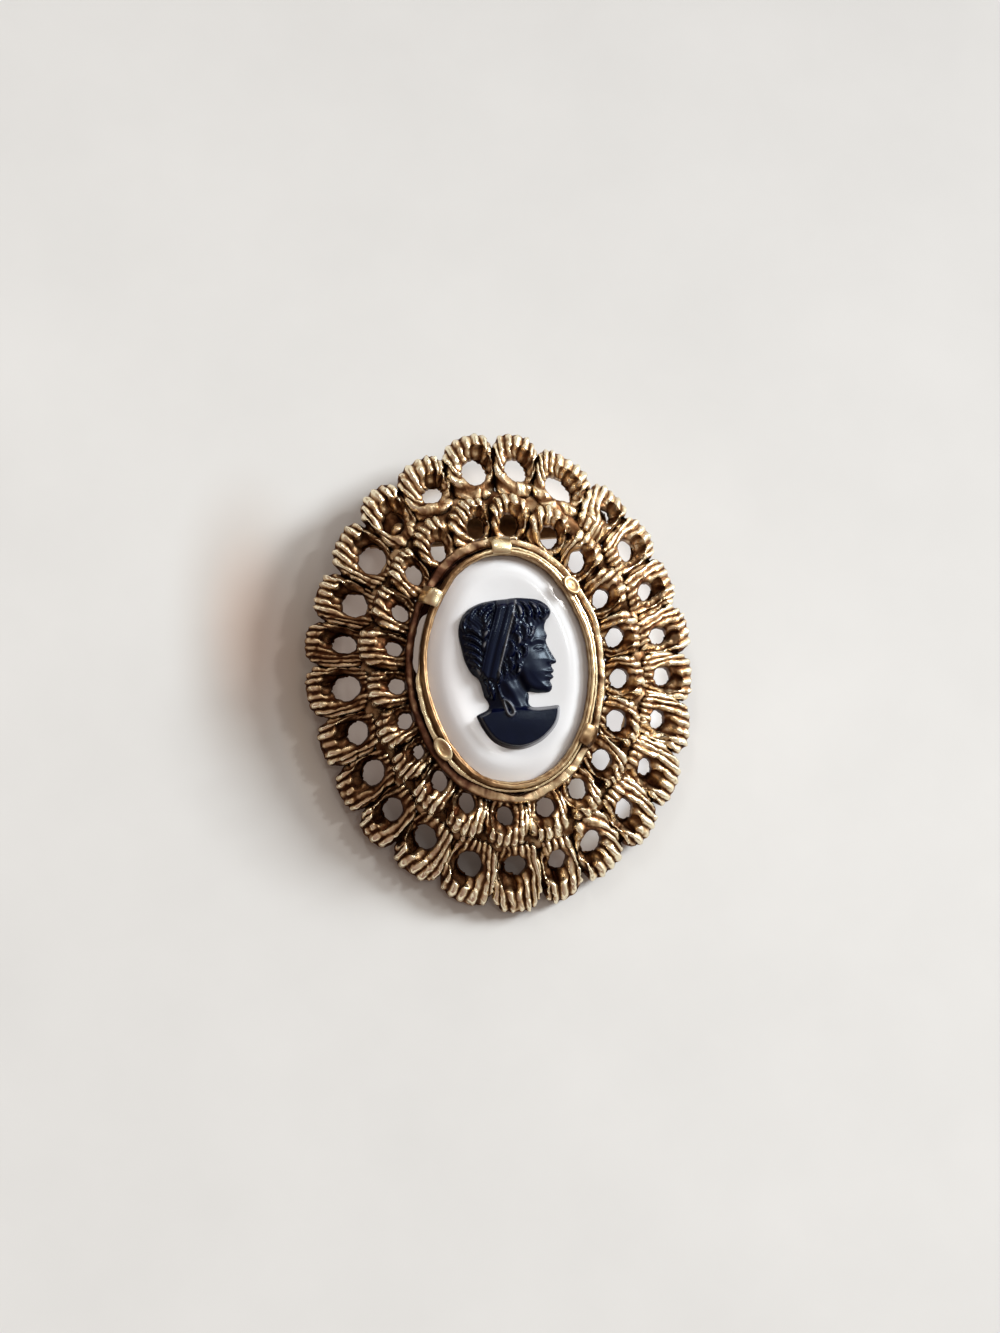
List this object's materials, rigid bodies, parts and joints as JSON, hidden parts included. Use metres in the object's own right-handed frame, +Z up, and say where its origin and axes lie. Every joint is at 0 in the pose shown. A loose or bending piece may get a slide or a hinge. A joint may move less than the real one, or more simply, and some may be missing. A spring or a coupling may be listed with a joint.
{
  "type": "cameo brooch",
  "caption": "Oval cameo brooch: black relief head in profile on a white dished plaque, in a pierced gold-coloured frame of ribbed rope loops, with a bar pin behind.",
  "frame": {"origin": "on the surface it lies on, under the middle of its bounding box", "axes": "+Z up from the surface it lies on, +Y towards the top of the brooch, +X to the right as worn and seen from the front"},
  "size_m": [0.0306, 0.0374, 0.0084],
  "materials": {
    "antique_gold": "antiqued cast gold colour, bright on the ribs and dark in the grooves",
    "bezel_gold": "satin pale gold colour",
    "white_plaque": "glossy, opaque white",
    "black_relief": "satin black",
    "pin_metal": "dull gold colour"
  },
  "bodies": {
    "root": {"frame": "antique_gold", "setting": "bezel_gold", "plaque": "white_plaque", "cameo_head": "black_relief", "pin_back": "pin_metal"}
  },
  "joints": []
}
